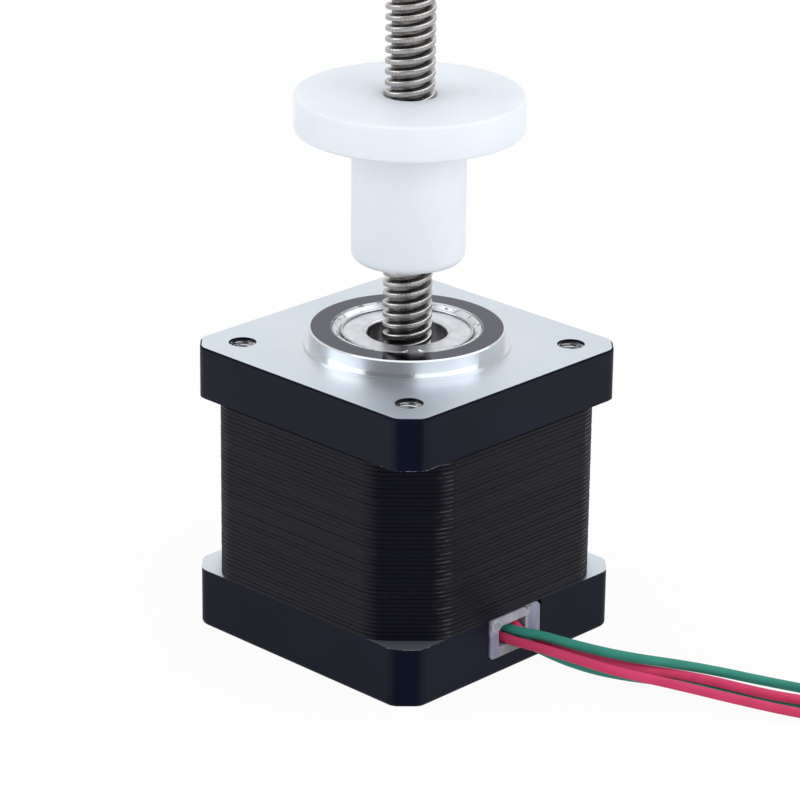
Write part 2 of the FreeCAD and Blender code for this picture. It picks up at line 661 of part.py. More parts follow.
frame = notch_box(grommet_back, grommet_front, 0, 0)
frame = frame.makeFillet(GROMMET_CORNER, lengthwise(frame, grommet_right, grommet_top))
for y, z in ((grommet_left, grommet_top), (grommet_left, grommet_bottom), (grommet_right, grommet_bottom)):
    frame = frame.makeFillet(GROMMET_ROUND, lengthwise(frame, y, z))
groove = notch_box(groove_low, groove_high, -GROMMET_GROOVE_DEPTH, 0)
groove = groove.cut(notch_box(groove_low, groove_high, GROMMET_GROOVE_DEPTH, 0))
frame = frame.cut(groove)
window_left = grommet_left + GROMMET_LEFT_BAR
window_right = grommet_right - GROMMET_RIGHT_BAR
window_low = grommet_bottom + GROMMET_SILL
window_high = grommet_top - GROMMET_TOP_BAR
window = Part.makeBox(GROMMET_DEPTH, window_right - window_left, window_high - window_low,
                      Vector(grommet_back, window_left, window_low))
window = window.makeChamfer(GROMMET_ROUND, lengthwise(window, window_left, window_high))
frame = frame.cut(window)
step_face = grommet_front - GROMMET_STEP
frame = frame.cut(Part.makeBox(GROMMET_STEP, GROMMET_RIGHT_BAR, GROMMET_HEIGHT,
                               Vector(step_face, window_right, grommet_bottom)))
tab_radius = GROMMET_TAB_WIDTH / 2
tab_start = Vector(step_face, window_right, window_high)
tab = Part.makeBox(GROMMET_STEP, GROMMET_TAB_REACH, GROMMET_TAB_WIDTH, tab_start)
tab_end = Vector(step_face, window_right + GROMMET_TAB_REACH, window_high + tab_radius)
tab = tab.fuse(Part.makeCylinder(tab_radius, GROMMET_STEP, tab_end, Vector(1, 0, 0)))
frame = frame.fuse(tab)
nick_corner = Vector(grommet_back, window_right, grommet_top)
nick = [nick_corner, nick_corner - Vector(0, GROMMET_NICK, 0), nick_corner - Vector(0, 0, GROMMET_NICK)]
nick = Part.Face(Part.makePolygon(nick + nick[:1])).extrude(Vector(GROMMET_DEPTH, 0, 0))
nodes["lead_grommet"] = frame.cut(nick).removeSplitter()

# Leads: two green and two red flying leads, out through the grommet, down to the bench and into a coil
ROUTES = {
    "lead_green_1": [
        Vector(15.2, -0.75, 5.0), Vector(17.8, -0.55, 4.93), Vector(20.66, 0.48, 5.08),
        Vector(25.2, 1.59, 4.6), Vector(30.07, 4.46, 3.8), Vector(35.84, 9.8, 2.6),
        Vector(42.54, 15.12, 1.4), Vector(50.2, 18.9, 0.7), Vector(56.0, 20.4, 0.65),
    ],
    "lead_red_2": [
        Vector(15.2, 0.8, 5.05), Vector(17.8, 0.9, 4.9), Vector(20.07, 1.17, 3.82),
        Vector(24.01, 2.32, 3.1), Vector(29.64, 4.68, 2.5), Vector(36.04, 9.63, 1.48),
        Vector(43.42, 13.55, 0.8), Vector(50.0, 16.9, 0.6), Vector(56.0, 18.9, 0.62),
    ],
    "lead_green_2": [
        Vector(15.2, 0.1, 4.02), Vector(18.0, 0.12, 4.02), Vector(20.3, 0.5, 2.52),
        Vector(24.83, 1.1, 2.3), Vector(28.93, 3.35, 1.75), Vector(34.67, 7.03, 1.25),
        Vector(42.39, 10.14, 0.8), Vector(49.17, 13.19, 0.58), Vector(55.8, 17.3, 0.6),
    ],
    "lead_red_1": [
        Vector(15.3, -1.42, 3.99), Vector(17.8, -1.64, 4.07), Vector(21.11, -0.47, 3.9),
        Vector(25.96, 0.22, 3.65), Vector(30.83, 2.11, 3.1), Vector(35.89, 5.54, 2.25),
        Vector(43.4, 8.85, 1.55), Vector(49.96, 12.14, 1.2), Vector(56.0, 15.7, 0.64),
    ],
}
ARC_SHARE = 0.45


def lead_tube(name, points):
    """A round tube along straight runs joined by tangent arcs; its length, bends and volume are printed."""
    edges = []
    radii = []
    last = points[0]
    for before, corner, after in zip(points, points[1:], points[2:]):
        back = before - corner
        ahead = after - corner
        turn = math.pi - back.getAngle(ahead)
        reach = ARC_SHARE * min(back.Length, ahead.Length)
        radii.append(reach / math.tan(turn / 2))
        back.normalize()
        ahead.normalize()
        start = corner + back * reach
        end = corner + ahead * reach
        inward = back + ahead
        inward.normalize()
        middle = corner + inward * (radii[-1] / math.cos(turn / 2) - radii[-1])
        edges.append(Part.LineSegment(last, start).toShape())
        edges.append(Part.Arc(start, middle, end).toShape())
        last = end
    edges.append(Part.LineSegment(last, points[-1]).toShape())
    path = Part.Wire(edges)
    section = Part.Wire(Part.makeCircle(lead_radius, points[0], points[1] - points[0]))
    solid = path.makePipeShell([section], True, False)
    share = solid.Volume / (math.pi * lead_radius ** 2 * path.Length)
    print(f"{name}: {path.Length:.1f} mm, smallest bend {min(radii):.1f} mm, volume {share:.4f} of section")
    return solid, path.Length


# Coil: the rest of each lead wound in its own column, the innermost lead in the tallest one
middle_column = (len(ROUTES) - 1) / 2
tip_pieces = []
columns = []
for column, (name, route) in enumerate(ROUTES.items()):
    radius = COIL_MIDDLE_DIAMETER / 2 + (column - middle_column) * COIL_COLUMN
    entry = coil_centre + polar(radius, COIL_HEADING - 90) + Vector(0, 0, COIL_LIFT + lead_radius)
    nodes[name], laid = lead_tube(name, route + [entry])
    turns = (LEAD_LENGTH - TIP_LENGTH - laid) / (2 * math.pi * radius)
    top = COIL_LIFT + turns * COIL_PITCH + LEAD_DIAMETER + COIL_COVER
    columns.append((radius, top))
    print(f"{name}: {turns:.2f} turns at radius {radius:.2f} mm, top {top:.2f} mm")
    end_angle = COIL_HEADING - 90 + 360 * turns
    end = coil_centre + polar(radius, end_angle) + Vector(0, 0, entry.z + turns * COIL_PITCH)
    tip_pieces.append(Part.makeCylinder(TIP_DIAMETER / 2, TIP_LENGTH, end, polar(1, end_angle + 90)))
inside = columns[0][0] - lead_radius - COIL_COVER
outside = columns[-1][0] + lead_radius + COIL_COVER
section = [(inside, COIL_LIFT), (outside, COIL_LIFT), (outside, columns[-1][1])]
section += [(radius, top) for radius, top in reversed(columns)]
section.append((inside, columns[0][1]))
coil = revolved(section)
coil.translate(coil_centre)
nodes["lead_coil"] = coil
nodes["lead_tips"] = joined(tip_pieces)

# Tie: a soft band round the coil
band = Part.Wire(Part.makePolygon([Vector(r, 0, z) for r, z in section + section[:1]]))
gap = COIL_COVER / 2
outer_band = Part.Face(band.makeOffset2D(gap + TIE_THICKNESS))
inner_band = Part.Face(band.makeOffset2D(gap))
tie = outer_band.cut(inner_band).revolve(ORIGIN, Z, TIE_ANGLE)
tie = turned(tie, TIE_PLACE - TIE_ANGLE / 2)
tie.translate(coil_centre)
nodes["lead_tie"] = tie.Solids[0]

os.makedirs("parts", exist_ok=True)
for name, shape in nodes.items():
    shape.exportStep("parts/" + name + ".step")
    print(f"{name}: {len(shape.Solids)} solids, {shape.Volume:.2f} mm3, valid {shape.isValid()}")
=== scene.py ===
import math
import bmesh
import bpy
from mathutils import Matrix, Vector


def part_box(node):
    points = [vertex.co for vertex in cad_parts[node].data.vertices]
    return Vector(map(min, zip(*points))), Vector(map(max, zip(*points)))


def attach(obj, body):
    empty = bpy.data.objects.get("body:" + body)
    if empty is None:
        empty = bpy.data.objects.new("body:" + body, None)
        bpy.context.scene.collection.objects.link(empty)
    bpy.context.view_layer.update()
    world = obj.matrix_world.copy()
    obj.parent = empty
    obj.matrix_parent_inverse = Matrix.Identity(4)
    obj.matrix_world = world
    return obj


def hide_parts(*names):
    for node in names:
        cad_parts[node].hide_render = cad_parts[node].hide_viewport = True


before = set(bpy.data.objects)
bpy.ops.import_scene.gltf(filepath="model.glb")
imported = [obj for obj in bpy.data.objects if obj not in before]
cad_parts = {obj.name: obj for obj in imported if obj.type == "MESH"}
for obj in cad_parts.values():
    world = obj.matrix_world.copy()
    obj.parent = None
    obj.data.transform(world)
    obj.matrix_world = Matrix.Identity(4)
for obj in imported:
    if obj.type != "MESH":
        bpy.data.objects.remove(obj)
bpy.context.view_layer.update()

# Rear end cap: a square of cast and machined aluminium that closes the motor behind and carries the
# rear bearing. Its sides are finished satin black, worn through along the edges of the corners; the
# face against the stack is machined bare.
MM = 0.001
FRAME_HALF = 17.5
FRAME_HEIGHT = 34.0
CAP_CORNER_CUT = 2.3
STACK_LOW = 7.0


class Shade:
    """A value in a material's nodes. Arithmetic on it adds Math nodes, and make adds any other node."""

    def __init__(self, tree, socket):
        self.tree = tree
        self.socket = socket

    def make(self, kind, settings=None, sockets=None, output=0):
        node = self.tree.nodes.new("ShaderNode" + kind)
        for name, value in (settings or {}).items():
            setattr(node, name, value)
        for name, value in (sockets or {}).items():
            if isinstance(value, Shade):
                self.tree.links.new(value.socket, node.inputs[name])
            else:
                node.inputs[name].default_value = value
        return Shade(self.tree, node.outputs[output])

    def maths(self, operation, first, second=0.0):
        return self.make("Math", {"operation": operation}, {0: first, 1: second})

    def __add__(self, other):
        return self.maths("ADD", self, other)

    __radd__ = __add__

    def __sub__(self, other):
        return self.maths("SUBTRACT", self, other)

    def __rsub__(self, other):
        return self.maths("SUBTRACT", other, self)

    def __mul__(self, other):
        return self.maths("MULTIPLY", self, other)

    __rmul__ = __mul__

    def __truediv__(self, other):
        return self.maths("DIVIDE", self, other)

    def __rtruediv__(self, other):
        return self.maths("DIVIDE", other, self)

    def __pow__(self, other):
        return self.maths("POWER", self, other)

    def __rpow__(self, other):
        return self.maths("POWER", other, self)

    def __abs__(self):
        return self.maths("ABSOLUTE", self)

    def either(self, other):
        """The larger of two values, so that two masks become one."""
        return self.maths("MAXIMUM", self, other)

    def rise(self, low, high):
        """0 below low, 1 above high, smooth between; low may be the larger."""
        limits = {"Value": self, "From Min": low, "From Max": high}
        return self.make("MapRange", {"interpolation_type": "SMOOTHSTEP"}, limits)

    def blend(self, nought, one):
        """A colour that goes from the first to the second as this value goes from 0 to 1."""
        first, second = [end if isinstance(end, Shade) else (*end, 1) for end in (nought, one)]
        return self.make("Mix", {"data_type": "RGBA"}, {0: self, 6: first, 7: second}, output=2)

    def axis(self, letter):
        return self.make("SeparateXYZ", None, {0: self}, output=letter)

    def off_axis(self):
        """The distance from the Z axis."""
        x = self.axis("X")
        y = self.axis("Y")
        return (x * x + y * y) ** 0.5

    def noise(self, scale, detail=3.0, stretch=(1, 1, 1)):
        """Noise from 0 to 1 at this place; stretch multiplies the scale along each axis."""
        place = self.make("VectorMath", {"operation": "MULTIPLY"}, {0: self, 1: stretch})
        return self.make("TexNoise", None, {"Vector": place, "Scale": scale, "Detail": detail}, output="Fac")

    def bump(self, distance, strength=1.0):
        """A normal tilted by this value's slopes, as if the value stood up by distance, in metres."""
        sockets = {"Height": self, "Distance": distance, "Strength": strength}
        return self.make("Bump", None, sockets, output="Normal")


def finish(name, **fixed):
    """A new material with fixed shader values; gives it, its shader and the place on the piece."""
    material = bpy.data.materials.new(name)
    material.use_nodes = True
    shader = material.node_tree.nodes["Principled BSDF"]
    for socket, value in fixed.items():
        shader.inputs[socket.replace("_", " ")].default_value = value
    place = Shade(material.node_tree, None).make("TexCoord", output="Object")
    return material, shader, place


def feed(shader, **values):
    """Links values to the shader's sockets."""
    for socket, value in values.items():
        value.tree.links.new(value.socket, shader.inputs[socket.replace("_", " ")])


def coat(material, *nodes):
    """Gives CAD nodes this material."""
    for node in nodes:
        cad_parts[node].data.materials.clear()
        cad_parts[node].data.materials.append(material)


def sheen_with_painted_corner_shade(normal):
    """1 on the frame's flat sides and less on its corners: painted shade, for the darker reflection corners
    catch.
    """
    return abs(normal.axis("X")).either(abs(normal.axis("Y"))).rise(0.8, 0.98)


def cap_finish(name, bare_part, worn_height, ring_part=None, polish_part=None):
    """Satin black with bare metal where bare_part is 1, a dark ring and a polish where those are more than 0.

    The black is worn through in a thin broken line at one height, near the corners."""
    material, shader, place = finish(name, Specular_IOR_Level=0.03, Coat_Roughness=0.36)
    normal = place.make("TexCoord", output="Normal")
    cloud = place.noise(90, 3)
    grain = place.noise(5200, 2)
    corner = abs(place.axis("X")) + abs(place.axis("Y"))
    corner_reach = 2 * FRAME_HALF - CAP_CORNER_CUT
    near_corner = corner.rise((corner_reach - 3.5) * MM, (corner_reach - 1) * MM)
    edge = abs(place.axis("Z") - worn_height * MM).rise(0.09 * MM, 0.03 * MM)
    worn = edge * near_corner * place.noise(1300, 3).rise(0.46, 0.66)
    bare = bare_part(place, normal).either(worn * 0.42)
    black = cloud.rise(0.3, 0.75).blend((0.0021, 0.0035, 0.0110), (0.0029, 0.0046, 0.0140))
    metal = cloud.rise(0.25, 0.8).blend((0.525, 0.568, 0.615), (0.56, 0.602, 0.65))
    rough = 0.46 + grain * 0.1 - bare * 0.08
    if polish_part:
        shine = polish_part(place)
        metal = (shine * 5).blend(metal, (0.645, 0.665, 0.685))
        rough = rough - shine
    colour = bare.blend(black, metal)
    if ring_part:
        ring = ring_part(place)
        colour = ring.blend(colour, (0.032, 0.038, 0.060))
        rough = rough - ring * 0.12
    # Less sheen on the corner facets is painted shade. The sheen also fades towards the bottom.
    sheen = (sheen_with_painted_corner_shade(normal) * 0.2 + 0.04) * (cloud * 0.3 + 0.85) * (1 - bare)
    sheen = sheen * (place.axis("Z").rise(0, FRAME_HEIGHT * MM) * 0.35 + 0.65)
    feed(shader, Base_Color=colour, Metallic=bare, Roughness=rough, Coat_Weight=sheen,
         Normal=grain.bump(0.000012, 0.3))
    return material


def rear_bare(place, normal):
    """1 on the face against the stack."""
    return normal.axis("Z").rise(0.6, 0.8)


coat(cap_finish("rear_cap_black_and_bare", rear_bare, STACK_LOW), "rear_end_cap")

# Bearings, one in each cap: ground steel rings, polished balls in a pressed cage, and thin shields.
# A round spring wire in the outer ring's groove holds each shield; its ends leave a small gap.
INNER_RING_EDGE = 4.6
WIRE_THICKNESS = 0.28
WIRE_RADIUS = 7.32
WIRE_HOOK = 0.75
WIRE_OPENING = 10
WIRE_OPENING_AT = -40
WIRE_STEPS = 120
WIRE_SIDES = 10
SHIELD_DEPTH = 0.45


def steel_finish(name, colour, rough, rings=0.0, specks=0.0):
    """Bare steel; rings is the depth of fine turning lines round the Z axis, specks how dark its oil is."""
    material, shader, place = finish(name, Metallic=1.0)
    cloud = place.noise(700, 3)
    darker = tuple(0.82 * c for c in colour)
    tone = cloud.rise(0.3, 0.7).blend(darker, colour)
    if specks:
        tone = (place.noise(1500, 4).rise(0.56, 0.66) * specks).blend(tone, (0.05, 0.05, 0.05))
    turning = {"W": place.off_axis(), "Scale": 9000.0, "Detail": 2.0}
    lines = place.make("TexNoise", {"noise_dimensions": "1D"}, turning, output="Fac")
    feed(shader, Base_Color=tone, Roughness=cloud * 0.12 + rough,
         Normal=(lines * rings + cloud * 0.3).bump(0.00001, 0.4))
    return material


def circle(sides):
    """Cosines and sines at even steps once round."""
    angles = [2 * math.pi * k / sides for k in range(sides)]
    return [(math.cos(angle), math.sin(angle)) for angle in angles]


def skin(loops):
    """Points and faces of a tube drawn over closed loops, which all have the same number of points."""
    size = len(loops[0])
    points = [point for loop in loops for point in loop]
    faces = []
    for start in range(0, len(points) - size, size):
        for k in range(size):
            along = (k + 1) % size
            faces.append((start + k, start + along, start + size + along, start + size + k))
    return points, faces


def add_mesh(name, points, faces, body, material, sharp=30):
    """A new mesh piece in millimetres that rides on a body, smooth but for edges sharper than an angle."""
    mesh = bpy.data.meshes.new(name)
    mesh.from_pydata([Vector(p) * MM for p in points], [], faces)
    mesh.validate()
    mesh.shade_smooth()
    mesh.set_sharp_from_angle(angle=math.radians(sharp))
    mesh.materials.append(material)
    piece = bpy.data.objects.new(name, mesh)
    bpy.context.scene.collection.objects.link(piece)
    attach(piece, body)
    return piece


def snap_wire(height):
    """An open ring of round wire about Z, with its two ends bent in: points and faces."""
    loops = []
    for k in range(WIRE_STEPS + 1):
        angle = math.radians(WIRE_OPENING_AT + WIRE_OPENING / 2 + (360 - WIRE_OPENING) * k / WIRE_STEPS)
        bent = WIRE_HOOK * max(0, 1 - min(k, WIRE_STEPS - k) / 2) ** 2
        loop = []
        for across, lift in circle(WIRE_SIDES):
            reach = WIRE_RADIUS - bent + WIRE_THICKNESS / 2 * across
            level = height + WIRE_THICKNESS / 2 * lift
            loop.append((reach * math.cos(angle), reach * math.sin(angle), level))
        loops.append(loop)
    points, faces = skin(loops)
    faces.append(tuple(range(WIRE_SIDES)))
    faces.append(tuple(reversed(range(len(points) - WIRE_SIDES, len(points)))))
    return points, faces


bearing_steel = steel_finish("ground_bearing_steel", (0.66, 0.67, 0.69), 0.16, 1.0, 0.75)
shield_steel = steel_finish("pressed_shield_steel", (0.65, 0.668, 0.70), 0.26, 0.6)
ball_steel = steel_finish("polished_ball_steel", (0.80, 0.81, 0.83), 0.05)
spring_steel = steel_finish("spring_steel", (0.5, 0.51, 0.53), 0.2)
# The inner ring's bore is painted dark, with lighter streaks, as shade down in the bore; its face stays
# bright.
bore_painted_shade, shader, place = finish("inner_ring_bore_painted_shade", Metallic=1.0)
streak = place.noise(900, 3, (1, 1, 0.04))
dark = streak.rise(0.35, 0.75).blend((0.19, 0.187, 0.195), (0.55, 0.545, 0.56))
face = place.off_axis().rise((INNER_RING_EDGE - 0.06) * MM, (INNER_RING_EDGE + 0.06) * MM)
feed(shader, Base_Color=face.blend(dark, (0.66, 0.68, 0.705)), Roughness=streak * 0.12 + 0.2)
for end in ("front", "rear"):
    coat(bearing_steel, end + "_bearing_outer_ring", end + "_bearing_cage")
    coat(bore_painted_shade, end + "_bearing_inner_ring")
    coat(shield_steel, end + "_bearing_shields")
    coat(ball_steel, end + "_bearing_balls")
    coat(spring_steel, end + "_bearing_snap_wires")
    low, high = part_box(end + "_bearing_outer_ring")
    inset = SHIELD_DEPTH - WIRE_THICKNESS / 2
    for side, height in (("lower", low.z / MM + inset), ("upper", high.z / MM - inset)):
        points, faces = snap_wire(height)
        wire = add_mesh(f"{end}_{side}_snap_wire", points, faces, "motor", spring_steel)
        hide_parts(end + "_bearing_snap_wires")

# Wave washer: a thin ring of spring steel, pressed into waves. It lies in the rear cap under the
# bearing's outer ring and keeps a light load on both bearings.
coat(spring_steel, "wave_washer")

# Rotor: two toothed cups of turned steel with a sintered disc magnet between them, all pressed on a
# hollow shaft. The shaft is painted dark: painted shade where it shows deep in the front bearing.
coat(steel_finish("rotor_steel", (0.45, 0.46, 0.48), 0.3, 1.0), "rotor_cup_front", "rotor_cup_rear")
coat(steel_finish("shaft_steel_painted_shade", (0.2, 0.195, 0.2), 0.3, 1.0), "rotor_shaft")
coat(steel_finish("sintered_magnet", (0.16, 0.16, 0.17), 0.45), "rotor_magnet")

# Stator: the stack is pressed from thin steel sheets, whose edges show as fine level lines under black
# lacquer. The skin below has one ridge for each sheet, over the CAD stack.
SHEET = 0.5
SHEETS = 42
SHEET_EDGE = ((0.0, 0.012), (0.05, 0.034), (0.12, 0.055), (0.25, 0.065), (0.38, 0.055), (0.45, 0.034))
SHEET_GROOVE = SHEET_EDGE[0][1]
SHEET_UNEVEN = 0.012
STACK_HIGH = STACK_LOW + SHEETS * SHEET
STACK_CORNER_CUT = 5.65
STACK_CORNER_BLEND = 4.0
STACK_CORNER_STEPS = 8
lacquer, shader, place = finish("black_lacquered_sheet_edges", Specular_IOR_Level=0.03, Coat_Roughness=0.3)
normal = place.make("TexCoord", output="Normal")
fleck = place.noise(900, 3, (1, 1, 3))
worn = place.noise(60, 4, (1, 1, 22)).rise(0.5, 0.72) * fleck.rise(0.45, 0.7)
count = (place.axis("Z") - STACK_LOW * MM) / (SHEET * MM)
off_middle = abs(count.maths("FRACT", count) - 0.5)
gap = off_middle.rise(0.32, 0.46) * (place.noise(36, 3, (1, 1, 55)).rise(0.35, 0.62) * 0.7 + 0.28)
gap = gap.either(place.axis("Z").rise((STACK_HIGH - 0.16) * MM, (STACK_HIGH - 0.07) * MM))
heading = abs(normal.axis("X")) / normal.off_axis()
# Bare metal on the sheet ridges of the corner blends, next to the flat sides: a painted glint, laid as
# lacquer rubbed through.
ridge_glint = heading.rise(0.76, 0.95) * heading.rise(0.998, 0.985) * off_middle.rise(0.2, 0.05)
ridge_glint = ridge_glint * place.noise(520, 3, (1, 1, 3)).rise(0.4, 0.62)
black = worn.blend((0.0030, 0.0030, 0.0078), (0.0080, 0.0078, 0.0120))
colour = ridge_glint.blend(gap.blend(black, (0.0006, 0.0006, 0.0012)), (0.062, 0.060, 0.061))
# Less sheen on the corner blends is painted shade, as on the caps.
sheen = (sheen_with_painted_corner_shade(normal) * 0.2 + 0.09) * (fleck * 0.5 + 0.75) * (1 - gap * 0.95)
feed(shader, Base_Color=colour, Metallic=ridge_glint * 0.9, Roughness=0.55 - worn * 0.14 + fleck * 0.08,
     Coat_Weight=sheen, Normal=fleck.bump(0.00002, 0.5))
coat(lacquer, "stator_stack")


def frame_outline(half, cut, blend, steps):
    """A square with cut corners and blended edges: points and their outward directions."""
    outline = []
    reach = blend * math.tan(math.radians(22.5))
    for quarter in range(4):
        turn = Matrix.Rotation(quarter * math.pi / 2, 2)
        for corner, start in ((Vector((half, half - cut)), 0), (Vector((half - cut, half)), 45)):
            ahead = math.radians(start + 90)
            foot = corner - Vector((math.cos(ahead), math.sin(ahead))) * reach
            across = math.radians(start)
            centre = foot - Vector((math.cos(across), math.sin(across))) * blend
            for k in range(steps + 1):
                angle = math.radians(start + 45 * k / steps)
                out = Vector((math.cos(angle), math.sin(angle)))
                outline.append((turn @ (centre + out * blend), turn @ out))
    return outline


rows = []
for sheet in range(SHEETS):
    bottom = STACK_LOW + sheet * SHEET
    uneven = SHEET_UNEVEN * math.sin(2.4 * sheet) * math.sin(5.1 * sheet)
    for rise, proud in SHEET_EDGE:
        rows.append((bottom + rise, proud + uneven if rise else proud))
rows.append((STACK_HIGH, SHEET_GROOVE))
outline = frame_outline(FRAME_HALF, STACK_CORNER_CUT, STACK_CORNER_BLEND, STACK_CORNER_STEPS)
loops = []
for height, proud in rows:
    loops.append([(point.x + out.x * proud, point.y + out.y * proud, height) for point, out in outline])
points, faces = skin(loops)
add_mesh("stator_sheet_edges", points, faces, "motor", lacquer, 60)

# Slot insulators and windings: a moulded nylon frame lies on each end of the stack, and enamelled copper
# wire is wound over both, round the necks of the eight poles.
copper, shader, place = finish("enamelled_copper", Metallic=0.7, Coat_Weight=0.4)
turns = place.noise(2600, 2, (1, 1, 0.3))
feed(shader, Base_Color=turns.rise(0.3, 0.7).blend((0.30, 0.10, 0.03), (0.55, 0.22, 0.08)),
     Roughness=turns * 0.2 + 0.25, Normal=turns.bump(0.0001, 0.6))
coat(copper, "winding_phase_a", "winding_phase_b")
nylon, shader, place = finish("natural_nylon", IOR=1.53)
cloud = place.noise(400, 3)
feed(shader, Base_Color=cloud.blend((0.74, 0.72, 0.64), (0.84, 0.82, 0.76)), Roughness=cloud * 0.2 + 0.4)
coat(nylon, "front_slot_insulator", "rear_slot_insulator")

# Front end cap: an aluminium plate, black on its sides. Its face, the pilot boss and the bearing seat are
# machined bare, and the boss's top keeps a dark ring. The four corner holes are tapped.
BOSS_RADIUS = 11.0
BARE_RADIUS = 13.0
BOSS_FACE = 36.0
RING_INNER = 8.53
RING_OUTER = 10.8
RING_EDGE = 0.03
HOLE_PLACE = 13.0
TAP_PITCH = 0.5
TAP_OUTER = 1.49
TAP_INNER = 1.26
TAP_LOW = 30.2
TAP_HIGH = 33.8
TAP_STEPS = 24
WELD = 0.00002


def front_bare(place, normal):
    """1 on level faces, and everywhere on the boss and inside it."""
    level = abs(normal.axis("Z")).rise(0.75, 0.95)
    inside = place.off_axis().rise(BARE_RADIUS * MM, (BARE_RADIUS - 0.1) * MM)
    return level.either(inside)


def boss_ring(place):
    """1 on the dark ring of the boss's top."""
    radius = place.off_axis()
    top = place.axis("Z").rise((BOSS_FACE - 2 * RING_EDGE) * MM, (BOSS_FACE - RING_EDGE) * MM)
    inner = radius.rise((RING_INNER - RING_EDGE) * MM, (RING_INNER + RING_EDGE) * MM)
    outer = radius.rise((RING_OUTER + RING_EDGE) * MM, (RING_OUTER - RING_EDGE) * MM)
    return top * inner * outer


def boss_polish(place):
    """How much smoother the boss is turned than the cap's face, and the face close round it."""
    radius = place.off_axis()
    turned = radius.rise((BOSS_RADIUS + 0.75) * MM, (BOSS_RADIUS + 0.6) * MM)
    close = radius.rise((BOSS_RADIUS + 5) * MM, (BOSS_RADIUS + 1) * MM)
    return turned * 0.22 + close * 0.05


def helix(profile, lead, start, low, high, steps, centre=(0, 0), trim=None):
    """Points and faces of a right-hand thread from low to high, whose profile stands at start over +X.

    The profile is (share of the lead, radius) points of one turn, and trim(height, radius) cuts it back."""
    points = []
    faces = []
    first = start - lead * math.ceil((start - low) / lead + 1)
    turns = math.ceil((high - first) / lead) + 1
    count = len(profile)
    for k in range(turns * steps + 1):
        angle = 2 * math.pi * k / steps
        for share, radius in profile:
            height = min(max(first + lead * (k / steps + share), low), high)
            reach = trim(height, radius) if trim else radius
            points.append((centre[0] + reach * math.cos(angle), centre[1] + reach * math.sin(angle), height))
    for k in range(turns * steps):
        for here in range(k * count, (k + 1) * count - 1):
            faces.append((here, here + count, here + count + 1, here + 1))
    return points, faces


def weld(piece):
    """Joins the points that meet, one turn of a thread to the next and at its ends."""
    work = bmesh.new()
    work.from_mesh(piece.data)
    bmesh.ops.remove_doubles(work, verts=work.verts, dist=WELD * MM)
    bmesh.ops.dissolve_degenerate(work, edges=work.edges, dist=WELD * MM)
    work.to_mesh(piece.data)
    work.free()
    piece.data.shade_smooth()
    piece.data.set_sharp_from_angle(angle=math.radians(35))


coat(cap_finish("front_cap_black_and_bare", front_bare, STACK_HIGH, boss_ring, boss_polish), "front_end_cap")
tapped = steel_finish("tapped_aluminium", (0.46, 0.465, 0.48), 0.16)
tap_profile = [(0.0, TAP_OUTER), (0.42, TAP_INNER), (0.58, TAP_INNER), (1.0, TAP_OUTER)]
points = []
faces = []
for hole in [(x * HOLE_PLACE, y * HOLE_PLACE) for x in (-1, 1) for y in (-1, 1)]:
    base = len(points)
    hole_points, hole_faces = helix(tap_profile, TAP_PITCH, TAP_LOW, TAP_LOW, TAP_HIGH, TAP_STEPS, hole)
    points += hole_points
    faces += [tuple(base + point for point in reversed(face)) for face in hole_faces]
weld(add_mesh("tapped_threads", points, faces, "motor", tapped))

# Housing screws: four plated steel screws with socket heads, sunk in the rear cap's corners. They pass
# through the stack and draw the two caps onto it.
coat(steel_finish("zinc_plate", (0.55, 0.56, 0.58), 0.28), "housing_screws")

# Lead screw: a stainless rod with a rolled right-hand thread of two starts, fixed in the rotor's hollow
# shaft. Its crests carry a painted highlight along their edges, and its root is painted dark as shade.
SCREW_RADIUS = 2.78
SCREW_CORE = 2.1
SCREW_TIP = 0.5
SCREW_STEPS = 36
SCREW_LEAD = 2.4384
SCREW_STARTS = 2
SLEEVE_END = 33.4
low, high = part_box("lead_screw")
screw_low = low.z / MM
screw_high = high.z / MM
stainless, shader, place = finish("rolled_stainless", Metallic=1.0)
radius = place.off_axis()
smear = place.noise(420, 3, (1, 1, 2.5))
streak = place.noise(700, 3, (1, 1, 5))
# The root's dark tone is painted shade and the bright band at the crests' edges a painted highlight.
flank = radius.rise(SCREW_CORE * MM, (SCREW_RADIUS - 0.15) * MM)
edge = radius.rise((SCREW_RADIUS - 0.2) * MM, (SCREW_RADIUS - 0.08) * MM)
edge = edge * radius.rise(SCREW_RADIUS * MM, (SCREW_RADIUS - 0.03) * MM)
root_painted_shade = streak.rise(0.3, 0.7).blend((0.075, 0.069, 0.067), (0.23, 0.215, 0.206))
crest = smear.rise(0.3, 0.7).blend((0.29, 0.277, 0.272), (0.41, 0.395, 0.388))
colour = edge.blend(flank.blend(root_painted_shade, crest), (0.52, 0.51, 0.50))
feed(shader, Base_Color=colour, Roughness=smear * 0.16 + 0.2, Normal=streak.bump(0.00003, 0.3))


def screw_trim(height, radius):
    """The thread's radius, cut back to a cone at the top end and closed at both ends."""
    if height >= screw_high or height <= screw_low:
        return 0.0
    return min(radius, SCREW_RADIUS - SCREW_TIP + (screw_high - height))


one_start = [
    (-0.336, SCREW_CORE), (-0.20, SCREW_CORE), (-0.16, SCREW_CORE + 0.05), (-0.075, SCREW_RADIUS - 0.14),
    (-0.045, SCREW_RADIUS - 0.05), (0.0, SCREW_RADIUS - 0.01), (0.06, SCREW_RADIUS), (0.27, SCREW_RADIUS),
    (0.33, SCREW_RADIUS - 0.01), (0.375, SCREW_RADIUS - 0.05), (0.405, SCREW_RADIUS - 0.14),
    (0.49, SCREW_CORE + 0.05), (0.53, SCREW_CORE),
]
thread = []
for start in range(SCREW_STARTS):
    thread += [((share + start) / SCREW_STARTS, radius) for share, radius in one_start]
thread.append((thread[0][0] + 1, SCREW_CORE))
points, faces = helix(thread, SCREW_LEAD, SLEEVE_END, screw_low, screw_high, SCREW_STEPS, trim=screw_trim)
screw = add_mesh("rolled_screw", points, faces, "rotor", stainless)
weld(screw)
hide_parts("lead_screw")

